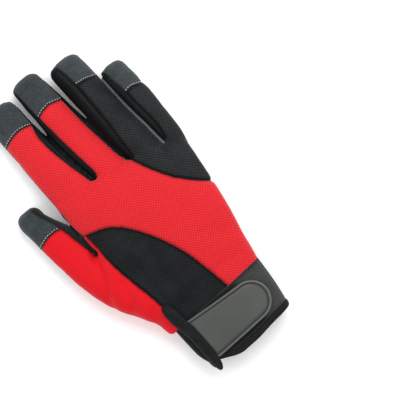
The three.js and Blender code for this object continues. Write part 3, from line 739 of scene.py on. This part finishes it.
# Along the ring finger the mesh's edge is turned over the strip, and a light line is painted along it as a
# highlight.
edge_highlight, highlight_width = np.array(strip_seams["ring_little_gusset"][0][:9]) - (0.8, 0), 0.6
places = np.array([v.co for v in outer_mesh.data.vertices]) * 1000 - cuff_edge
highlight_mask = np.exp(-((line_gap(places[:, :2], edge_highlight) / highlight_width) ** 2))
highlight_mask *= smoothstep(places[:, 2], 8, 12)
outer_mesh.data.attributes.new("edge_highlight", "FLOAT", "POINT").data.foreach_set("value", highlight_mask)
panel("wrist_mesh", "wrist_mesh_panel", wrist_mesh)

# The side strips between the fingers are a smooth stretch fabric, sewn in between back and palm. Shade is
# painted on them: near black in their seams' grooves and, away from the seams, deep in the slots where the
# light doesn't reach.
gusset_fabric, tree, shader = new_finish("gusset fabric", 0.5, sheen=0.02, specular=0.07)
cloud = placed(tree, mottle, Size=0.01, Contrast=1.5)
strip_tone = mixed(tree, cloud, srgb(12, 15, 17), srgb(24, 28, 31))
# Painted shade: near black away from the seams, deep in the slots, and in the seams' grooves.
slot_painted_shade = mixed(tree, placed(tree, seam_shade, Width=4.0), srgb(2, 2, 3), strip_tone)
shaded = mixed(tree, placed(tree, seam_shade, Width=1.2), slot_painted_shade, srgb(3, 4, 4))
dressed(tree, shader, shaded, placed(tree, mottle, Size=0.0012, Contrast=2.0), 0.12, 0.0002)
for node in gussets:
    panel(node.replace("gusset", "strip"), node, gusset_fabric)

# The palm, the palm side of the thumb and the fingertip caps are synthetic suede with a short mottled nap.
# The thumb's palm side is smoother and darker than the rest.
def suede_finish(name, low, high):
    material, tree, shader = new_finish(name, 0.9, sheen=0.15, sheen_roughness=0.6, specular=0.15)
    nap = placed(tree, mottle, Size=0.0011, Contrast=2.4)
    cloud = placed(tree, mottle, Size=0.007, Contrast=2.0)
    share = maths(tree, "ADD", times(tree, nap, 0.6), times(tree, cloud, 0.4))
    brushed = mixed(tree, share, low, high)
    # Shade is painted near black into the seams' grooves and along the patch's edges.
    shaded = mixed(tree, placed(tree, seam_shade, Width=1.0), brushed, srgb(5, 6, 7))
    dressed(tree, shader, shaded, nap, 0.35, 0.0003)
    return material


suede = suede_finish("black suede", srgb(24, 29, 32), srgb(58, 65, 68))
panel("palm", "palm_panel", suede)
smooth_dark_suede = suede_finish("smoother black suede", srgb(6, 8, 10), srgb(22, 26, 28))
panel("thumb_palm", "thumb_palm_panel", smooth_dark_suede)
for finger in fingers:
    panel(finger + "_cap", finger + "_tip_cap", suede)

# The white stitches of the caps run just past each cap's seam, and are drawn as they lie: short rounded
# threads, sunk a little into the suede.
skin_tree = BVHTree.FromPolygons(skin_points.tolist(), skin_triangles.tolist())


def thread_finish(name, low, high):
    material, tree, shader = new_finish(name, 0.6, sheen=0.2)
    cloud = placed(tree, mottle, Size=0.002, Contrast=2.0)
    tree.links.new(mixed(tree, cloud, low, high), shader.inputs["Base Color"])
    return material


white_thread = thread_finish("white thread", srgb(150, 154, 152), srgb(192, 196, 193))


def ordered(edges):
    """Edges as one run of points, the longest that they hold."""
    following = {}
    for a, b in edges.tolist():
        following.setdefault(a, []).append(b)
        following.setdefault(b, []).append(a)
    best = []
    left = set(following)
    while left:
        start = next((v for v in sorted(left) if len(following[v]) == 1), min(left))
        run = [start]
        left.discard(start)
        while True:
            onward = [v for v in following[run[-1]] if v in left]
            if not onward:
                break
            run.append(onward[0])
            left.discard(onward[0])
        best = max(best, run, key=len)
    return best


def spaced(line, step):
    """Points at even steps along a line."""
    line = np.array(line, float)
    lengths = np.concatenate([[0], np.cumsum(np.linalg.norm(np.diff(line, axis=0), axis=1))])
    at = np.arange(step / 2, lengths[-1], step)
    return np.column_stack([np.interp(at, lengths, line[:, k]) for k in range(line.shape[1])])


thread_sides = 6
thread_rings = [(-0.5, 0.35, -1.0), (-0.36, 0.9, 0.1), (0, 1.0, 0.5), (0.36, 0.9, 0.1), (0.5, 0.35, -1.0)]


def stitch_run(line, ups, length, radius, sink=0.0):
    """Threads along a line of places, each with its own outward direction."""
    parts = []
    turn = 2 * np.pi * np.arange(thread_sides) / thread_sides
    ways = np.gradient(line, axis=0)
    for place, way, up in zip(line, ways, ups):
        way = way / max(np.linalg.norm(way), 1e-9)
        across = np.cross(up, way)
        rings = []
        for t, size, rise in thread_rings:
            middle = place + way * t * length + up * (rise * radius - sink)
            outward = np.outer(np.cos(turn), across) + np.outer(np.sin(turn), up)
            rings.append(middle + size * radius * outward)
        parts.append((np.vstack(rings), swept_faces(len(rings), thread_sides, flipped=True)))
    return joined(parts)


stitch_step, stitch_length, stitch_radius = 2.1, 1.5, 0.3
past_seam = np.array([0, 1.5, 0])
run_rounds = 8
cap_runs = {
    "index_tip_cap": "back_panel",
    "middle_tip_cap": "back_panel",
    "ring_tip_cap": "knuckle_mesh_panel",
    "little_tip_cap": "knuckle_mesh_panel",
    "thumb_tip_cap": "thumb_back_panel",
}
cap_threads = []
for cap, neighbour in cap_runs.items():
    pair = sorted((hand_panels.index(cap), hand_panels.index(neighbour)))
    run = skin_points[ordered(seams[np.all(seam_pairs == pair, axis=1)])]
    for _ in range(run_rounds):
        run[1:-1] = (run[:-2] + 2 * run[1:-1] + run[2:]) / 4
    hits = [skin_tree.find_nearest(p) for p in spaced(run, stitch_step) + past_seam]
    places = np.array([hit[0] for hit in hits])
    ups = np.array([hit[1] for hit in hits])
    cap_threads.append(stitch_run(places, ups, stitch_length, stitch_radius, 0.1))
threads = mesh_piece("cap_stitches", *joined(cap_threads), white_thread)
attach(threads, "root")

# The reinforcement on the palm is a second layer of suede. It lies over the ball of the hand and loops round
# a bare egg shape, and two rows of white stitches hold each of its edges down.
patch_edge = np.array([
    (-44.7, 132), (-43.5, 157), (-40.0, 172), (-34.3, 177.5), (-28.1, 172.6), (-20.8, 158.6), (-13.5, 156.4),
    (-3.1, 161.9), (10.4, 153.4), (20.8, 155.4), (34.3, 148.4), (46.8, 148.9), (53.6, 139.4), (47.8, 134.7),
    (15.6, 140.9), (11.1, 136.0), (15.6, 128.5), (31.2, 123.0), (44.7, 113.3), (48.4, 100.1), (43.7, 85.2),
    (31.2, 77.2), (16.6, 79.7), (3.1, 90.1), (-5.2, 104.6), (-11.4, 121.5), (-20.8, 129.5), (-33.3, 127.0),
])  # fmt: skip
egg_middle, egg_length, egg_width, egg_narrowing, egg_turn = (23.9, 102.8), 47.3, 26.0, 0.22, 130
patch_rise, patch_edge_rise, patch_edge_width, patch_swell = 1.25, 0.3, 1.3, 0.25
row_gaps, row_dip, row_width = (1.7, 3.6), 0.3, 0.7  # the rows of stitches, and how they sink in
patch_outline = curved(np.vstack([patch_edge[-1:], patch_edge, patch_edge[:2]]), 8)
angle = 2 * np.pi * np.arange(hand_sides) / hand_sides
lengthwise = np.cos(angle) * egg_length / 2
crosswise = np.sin(angle) * (1 - egg_narrowing * np.cos(angle)) * egg_width / 2
c, s = math.cos(math.radians(egg_turn)), math.sin(math.radians(egg_turn))
egg_outline = np.column_stack([lengthwise * c - crosswise * s, lengthwise * s + crosswise * c]) + egg_middle
skin_normals = normals_of(skin_points, skin_triangles)
below = skin_normals[skin_triangles].mean(axis=1)[:, 2] < 0.05
below &= np.isin(panel_of, [palm, hand_panels.index("thumb_palm_panel")])
used, faces = np.unique(skin_triangles[below], return_inverse=True)
faces = faces.reshape(-1, 3)
places = skin_points[used, :2]
patch_depth = np.minimum(depth_inside(places, patch_outline), -depth_inside(places, egg_outline))
both = np.column_stack([skin_points[used], skin_normals[used], patch_depth])
both, faces, part_of = divided(both, faces, np.column_stack([-patch_depth, patch_depth]))
faces = faces[part_of == 0]
used, faces = np.unique(faces, return_inverse=True)
patch_points, patch_normals, patch_depth = both[used, :3], both[used, 3:6], np.maximum(both[used, 6], 0)
on_patch = smoothstep(patch_depth, -0.2, patch_edge_width)
rise = patch_edge_rise + (patch_rise - patch_edge_rise) * on_patch
for row in row_gaps:
    rise -= row_dip * np.exp(-(((patch_depth - row) / row_width) ** 2))
rise += patch_swell * smoothstep(patch_depth, 4, 8)
patch_points = patch_points + patch_normals * rise[:, None]
floor_gap = 0.02
patch_points[:, 2] = np.maximum(patch_points[:, 2], floor_gap)
patch = mesh_piece("palm_patch_layer", patch_points, faces.reshape(-1, 3), suede, patch_depth)
thickened(patch, patch_thickness)
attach(patch, "root")
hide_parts("palm_patch")


def offset_line(outline, inward):
    """A closed outline moved inwards, or outwards for a negative distance."""
    before, after = np.roll(outline, 1, axis=0), np.roll(outline, -1, axis=0)
    way = after - before
    way /= np.linalg.norm(way, axis=1)[:, None]
    left = np.column_stack([-way[:, 1], way[:, 0]])
    area = np.sum(outline[:, 0] * np.roll(outline[:, 1], -1) - outline[:, 1] * np.roll(outline[:, 0], -1))
    return outline + left * inward * np.sign(area)


patch_tree = BVHTree.FromPolygons(patch_points.tolist(), faces.reshape(-1, 3).tolist())
patch_threads = []
least_gap = 0.93  # of a row's distance, so that it doesn't cross itself in sharp corners
for outline, way in ((patch_outline, 1), (egg_outline, -1)):
    for row in row_gaps:
        moved = offset_line(outline, way * row)
        edge_gap = line_gap(moved, outline, closed=True)
        moved = moved[edge_gap > row * least_gap]
        line = spaced(np.vstack([moved, moved[:1]]), stitch_step)
        hits = [patch_tree.ray_cast(Vector((x, y, -20)), Vector((0, 0, 1))) for x, y in line]
        good = [hit for hit in hits if hit[0] is not None]
        places = np.array([hit[0] for hit in good])
        ups = np.array([-hit[1] if hit[1].z > 0 else hit[1] for hit in good])
        patch_threads.append(stitch_run(places, ups, stitch_length, stitch_radius, 0.05))
points, faces = joined(patch_threads)
points[:, 2] = np.maximum(points[:, 2], floor_gap)
threads = mesh_piece("patch_stitches", points, faces, white_thread)
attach(threads, "root")

# The cuff is an elastic band, edged with tape. Its back is faced with loop fabric for the closure tab, and a
# slit in it is bound with a soft roll.
cuff_length, band_wall, band_out, binding_length = 42.0, 2.4, 0.75, 5.2
cuff_rows = np.array(
    [  # y, left, right, bottom, top
        (0.0, -33.4, 33.7, 0.6, 26.6),
        (6.0, -34.6, 34.6, 0.6, 26.9),
        (12.0, -35.9, 35.4, 0.7, 27.0),
        (18.0, -36.8, 36.2, 0.8, 27.0),
        (42.0, -37.5, 39.1, 0.9, 26.7),
    ]
)
slit_line = np.array([(-30.8, 0.0), (-31.5, 61.0)])
rest_height = 0.05
flap_rise = 7.6  # the loop panel's corner beside the slit is cut round, and stands this much back
palm_corner_rise = 6.5  # and the palm side's corner below it stands this much back
cuff_squareness = 2.5


def cuff_point(y, angle, out):
    """A point on the cuff: its place along, its angle round and its distance out of the hand's surface."""
    left, right, bottom, top = (np.interp(y, cuff_rows[:, 0], cuff_rows[:, k]) for k in range(1, 5))
    across, up = rounded(angle, 2 / cuff_squareness)
    x = (left + right) / 2 + across * ((right - left) / 2 + out)
    z = (bottom + top) / 2 + up * ((top - bottom) / 2 + out)
    return np.stack(np.broadcast_arrays(x, y, z), axis=-1)


def cuff_angle(x, y, out):
    """The angle at which the cuff's top passes a place across."""
    left, right = (np.interp(y, cuff_rows[:, 0], cuff_rows[:, k]) for k in (1, 2))
    share = (x - (left + right) / 2) / ((right - left) / 2 + out)
    return math.acos(math.copysign(min(abs(share), 1) ** (cuff_squareness / 2), share))


def cuff_sweep(profile, first, last, steps):
    """A body with this closed profile of (along, out) swept round the cuff between two angles."""
    angles = np.linspace(first, last, steps)
    rings = np.stack([cuff_point(profile[:, 0], a, profile[:, 1]) for a in angles])
    wave = np.array([[noise.noise(Vector((p[0] / 18, p[1] / 14, p[2] / 18))) for p in r] for r in rings])
    rings[..., 1] += 0.5 * wave * smoothstep(cuff_length - rings[..., 1], 4, 30)
    near_edge = smoothstep(-rings[..., 1], -24, -2)
    on_back = smoothstep(rings[..., 2], 12, 18)
    beside_slit = 1 - smoothstep(rings[..., 0], -33, -9)
    beside_slit = np.where(rings[..., 0] > slit_line[0, 0], beside_slit, 0.4)
    corner = 1 - smoothstep(rings[..., 0], -33, -18)
    slant = 0.06 * np.maximum(rings[..., 0], 0)
    moved = on_back * flap_rise * beside_slit + slant + (1 - on_back) * palm_corner_rise * corner
    rings[..., 1] += near_edge * moved
    rings[..., 2] = np.maximum(rings[..., 2], rest_height)
    return rings.reshape(-1, 3), swept_faces(steps, len(profile), flipped=True)


def band_profile(near, far, outer, inner, rows=18):
    """A band's section: a soft edge at both ends, and a slight swell between them."""
    along = np.linspace(near + 0.8, far - 0.8, rows)
    swell = 0.35 * np.sin(np.pi * (along - near) / (far - near))
    top = np.column_stack([along, outer + swell])
    bottom = np.column_stack([along[::-1], np.full(rows, inner)])
    near_edge = [(near + 0.25, inner + 0.35), (near, (inner + outer) / 2), (near + 0.2, outer - 0.35)]
    far_edge = [(far - 0.2, outer - 0.35), (far, (inner + outer) / 2), (far - 0.25, inner + 0.35)]
    return np.vstack([top, far_edge, bottom, near_edge])


slit_half = 1.2
loop_end_x = 36.5
slit_left, slit_right, loop_end = (
    cuff_angle(x, cuff_length / 2, 0.7)
    for x in (slit_line[0, 0] - slit_half, slit_line[0, 0] + slit_half, loop_end_x)
)
panel_profile = band_profile(binding_length - 0.2, cuff_length, band_out, band_out - band_wall)
cuff_fabric, tree, shader = new_finish("cuff fabric", 0.8, sheen=0.06, specular=0.1)
cloud = placed(tree, mottle, Size=0.006, Contrast=1.6)
weave = placed(tree, square_weave, Pitch=0.0011, Turn=0.0)
dressed(tree, shader, mixed(tree, cloud, srgb(9, 11, 12), srgb(20, 23, 25)), weave, 0.3, 0.0002)
sweep = cuff_sweep(panel_profile, slit_left, loop_end + 2 * np.pi, 220)
band = mesh_piece("cuff_elastic", *sweep, cuff_fabric)
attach(band, "root")
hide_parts("cuff_band")

tab_left, tab_length, tab_root, tab_end, tab_droop, tab_middle = -28.4, 59.2, 34.0, 29.1, 2.45, 25.8
tab_points = 30  # on each long side and round the end


def tab_outline(inset):
    """The tab's outline moved in, with evenly shared points."""
    root, end = tab_root / 2 - inset, tab_end / 2 - inset
    left, middle = tab_left + inset, tab_middle - tab_droop
    x = tab_left + tab_length - tab_end / 2
    turn = np.linspace(-np.pi / 2, np.pi / 2, tab_points)
    arc = np.column_stack([x + end * np.cos(turn), middle + end * np.sin(turn)])
    lower = np.linspace((left, tab_middle - root), arc[0], tab_points)[:-1]
    upper = np.linspace(arc[-1], (left, tab_middle + root), tab_points)[1:]
    side = np.linspace(upper[-1], lower[0], 14)[1:-1]
    return np.vstack([lower, arc, upper, side])


loop_fabric, tree, shader = new_finish("loop fabric", 0.95, sheen=0.2, sheen_roughness=0.5, specular=0.1)
pile = placed(tree, mottle, Size=0.0009, Contrast=2.6)
cloud = placed(tree, mottle, Size=0.012, Contrast=1.4)
share = maths(tree, "ADD", times(tree, pile, 0.5), times(tree, cloud, 0.5))
pressed = mixed(tree, share, srgb(36, 38, 38), srgb(64, 67, 66))
# Painted shadow: the loop fabric goes near black beside the tab, and painted shade darkens it along the
# band's edges.
shaded = mixed(tree, placed(tree, seam_shade, Width=4.0), pressed, srgb(6, 7, 8))
dressed(tree, shader, shaded, pile, 0.5, 0.0004)
points, faces = cuff_sweep(panel_profile, loop_end + 0.004, slit_right, 140)
# The painted shadow beside the tab fades out towards the tab's far end.
tab_shadow_gap = np.linalg.norm(points[:, None, :2] - tab_outline(0), axis=2).min(axis=1)
tab_shadow_gap += 10 * smoothstep(points[:, 0], 12, 27)
edge_shade_gap = 1.5 * np.minimum(cuff_length - points[:, 1], points[:, 1] - binding_length) + 1.5
loop = mesh_piece("cuff_loop", points, faces, loop_fabric, np.minimum(tab_shadow_gap, edge_shade_gap))
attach(loop, "root")
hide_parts("cuff_loop_panel")

binding_tape, tree, shader = new_finish("binding tape", 0.65, sheen=0.05, specular=0.12)
cloud = placed(tree, mottle, Size=0.004, Contrast=1.6)
weave = placed(tree, square_weave, Pitch=0.0008, Turn=0.6)
dressed(tree, shader, mixed(tree, cloud, srgb(8, 10, 11), srgb(26, 29, 31)), weave, 0.3, 0.0002)
tape_out, tape_half_depth = -0.5, 1.9
along, out = rounded(np.linspace(0, 2 * np.pi, 22, endpoint=False), 0.75)
along = binding_length / 2 + along * (binding_length / 2 - 0.05)
tape_profile = np.column_stack([along, tape_out + out * tape_half_depth])[::-1]
sweep = cuff_sweep(tape_profile, slit_left, slit_right + 2 * np.pi, 260)
tape = mesh_piece("cuff_tape", *sweep, binding_tape)
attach(tape, "root")
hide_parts("cuff_binding")

# The roll over the slit is stretch fabric sewn round a soft core. It starts at the cuff's edge with a point
# and ends past the cuff in a round lobe.
roll_rows = [  # place along, shift across, half width, height, crease
    (0.8, -0.4, 0.8, 1.4, 0.0),
    (2.2, -0.2, 2.0, 2.6, 0.1),
    (5.5, 0.3, 3.1, 3.6, 0.3),
    (12, 1.0, 3.7, 4.0, 0.6),
    (22, 1.4, 3.9, 4.0, 0.8),
    (33, 1.4, 4.1, 4.2, 0.8),
    (39, 0.8, 4.3, 4.4, 0.45),
    (46, 0.1, 4.8, 5.0, 0.25),
    (53, -0.2, 4.6, 5.0, 0.2),
    (58, -0.4, 3.8, 4.4, 0.1),
    (60.6, -0.4, 2.5, 3.2, 0.0),
    (61.8, -0.4, 0.8, 1.3, 0.0),
]


def cuff_top(x, y, out=0.9):
    """The height of the cuff's outer face over a place in plan. Past the cuff's sides it goes on level."""
    left, right, bottom, top = (np.interp(y, cuff_rows[:, 0], cuff_rows[:, k]) for k in range(1, 5))
    share = min(abs(x - (left + right) / 2) / ((right - left) / 2 + out), 0.95)
    height = (1 - share**cuff_squareness) ** (1 / cuff_squareness)
    return (bottom + top) / 2 + height * ((top - bottom) / 2 + out)


def surface_height(x, y):
    """The highest surface under a place in plan."""
    hit = skin_tree.ray_cast(Vector((x, y, 60)), Vector((0, 0, -1)))[0]
    on_cuff = cuff_top(x, y) if y < cuff_length else 0.0
    return max(hit.z if hit is not None else 0.0, on_cuff)


roll_sides = 28
roll_held = 9.0  # towards the cuff's edge the roll's point goes on level from here
tilt_reach = 3
rings = []
for y, shift, half_width, height, crease in eased(roll_rows, 7):
    x = np.interp(y, slit_line[:, 1], slit_line[:, 0]) + shift
    held_at = min(max(y, roll_held), 60.0)
    level = surface_height(x, held_at)
    tilt = surface_height(x + tilt_reach, held_at) - surface_height(x - tilt_reach, held_at)
    across, up = rounded(2 * np.pi * np.arange(roll_sides) / roll_sides, 0.85)
    across, up = across * half_width, up * height / 2
    up = np.where(up > 0, up - crease * np.exp(-(((across + 0.6) / 0.7) ** 2)), up * 0.6)
    up = level + 0.3 * height + up + across * tilt / (2 * tilt_reach)
    rings.append(np.column_stack([x + across, np.full(roll_sides, y), up]))
rings = np.array(rings)
rings[..., 2] += 0.15 * np.array([[noise.noise(Vector(p / 5)) for p in r] for r in rings])
roll = mesh_piece("slit_roll", rings.reshape(-1, 3), swept_faces(len(rings), roll_sides), binding_tape)
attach(roll, "root")
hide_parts("slit_binding")

# The closure tab is moulded rubber on cloth. Its raised border runs round it, with a stitched groove inside
# the border, and its left end is sewn under the roll.
tab_underside = [(13.7, 0.15), (8, 0.15), (0.4, 0.15)]  # distance in from the edge, height over the cuff
tab_steps = [
    (0.0, 0.5), (0.02, 1.4), (0.2, 2.3), (0.6, 2.85), (1.1, 3.0), (1.5, 2.85), (1.8, 2.2), (2.2, 1.75),
    (2.6, 1.75), (3.0, 2.2), (3.6, 2.45), (5.0, 2.5), (7.5, 2.5), (10.0, 2.5), (12.5, 2.5), (13.7, 2.5),
]  # fmt: skip
tab_rim = 0.9  # how far in the border is highest, where a highlight is painted lighter


def tab_ring(inset, height):
    sewn_flat = 0.25 + 0.75 * smoothstep(tab_outline(inset)[:, 0], tab_left, tab_left + 2.8)
    return [(x, y, cuff_top(x, y) + height * part) for (x, y), part in zip(tab_outline(inset), sewn_flat)]


tab_rings = [tab_ring(*row) for row in tab_underside + tab_steps]
count = len(tab_rings[0])
faces = swept_faces(len(tab_rings), count, flipped=True)[:-1]
inner = (len(tab_rings) - 1) * count  # the middle of the top is closed from one long side to the other
side = tab_points - 2
across = inner + 3 * side + 3
faces += [(inner + k, inner + k + 1, across - 1 - k, across - k) for k in range(1, side)]
faces.append(tuple(range(inner + side, inner + 2 * side + 4)))
faces.append((*range(across - 1, inner + count), inner, inner + 1))
rubber, tree, shader = new_finish("moulded rubber", 0.5, specular=0.4)
cloud = placed(tree, mottle, Size=0.02, Contrast=1.2)
grain = placed(tree, mottle, Size=0.0006, Contrast=2.0)
plain = mixed(tree, cloud, srgb(56, 58, 55), srgb(68, 70, 66))
# A highlight is painted lighter along the crest of the raised border.
rim_highlight = mixed(tree, placed(tree, seam_shade, Width=0.5), plain, srgb(92, 94, 91))
dressed(tree, shader, rim_highlight, grain, 0.15, 0.0002)
far = 9.0  # the underside gets no painted highlight
from_rim = [far] * len(tab_underside) + [abs(inset - tab_rim) for inset, _ in tab_steps]
tab = mesh_piece("closure_tab", np.vstack(tab_rings), faces, rubber, np.repeat(from_rim, count))
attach(tab, "root")
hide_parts("strap_tab")

dark_thread = thread_finish("dark thread", srgb(12, 13, 13), srgb(26, 27, 26))
groove_inset, groove_level = 2.4, 1.75
groove_line = tab_outline(groove_inset)[: 3 * tab_points - 1]  # all but the sewn end
line = spaced(groove_line, 1.7)
places = np.array([(x, y, cuff_top(x, y) + groove_level) for x, y in line])
ups = np.tile([0.0, 0.0, 1.0], (len(line), 1))
threads = mesh_piece("tab_stitches", *stitch_run(places, ups, 1.3, 0.4), dark_thread)
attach(threads, "root")

# The floor is a plain pale sheet. A large soft light stands at the upper left of the picture, and a weaker
# one fills in from the right.
floor_mesh = bpy.data.meshes.new("floor")
half = 3.0
corners = [(-half, -half, 0), (half, -half, 0), (half, half, 0), (-half, half, 0)]
floor_mesh.from_pydata(corners, [], [(0, 1, 2, 3)])
floor = bpy.data.objects.new("floor", floor_mesh)
bpy.context.collection.objects.link(floor)
floor_paint, tree, shader = new_finish("pale floor", 0.9, specular=0.1)
shader.inputs["Base Color"].default_value = (0.92, 0.92, 0.92, 1)
shader.inputs["Emission Color"].default_value = (1, 1, 1, 1)
shader.inputs["Emission Strength"].default_value = 0.12
floor_mesh.materials.append(floor_paint)


def soft_light(name, place, size, power):
    data = bpy.data.lights.new(name, "AREA")
    data.energy = power
    data.size = size
    light = bpy.data.objects.new(name, data)
    light.location = place
    light.rotation_euler = (-Vector(place)).to_track_quat("-Z", "Y").to_euler()
    bpy.context.collection.objects.link(light)


soft_light("key", (0.55, 0.35, 0.9), 0.8, 9)
soft_light("fill", (-0.7, 0.1, 0.9), 1.0, 3)
world = bpy.data.worlds.new("studio")
world.use_nodes = True
world.node_tree.nodes["Background"].inputs["Color"].default_value = (1, 1, 1, 1)
world.node_tree.nodes["Background"].inputs["Strength"].default_value = 0.75
bpy.context.scene.world = world
bpy.context.scene.view_settings.view_transform = "Standard"
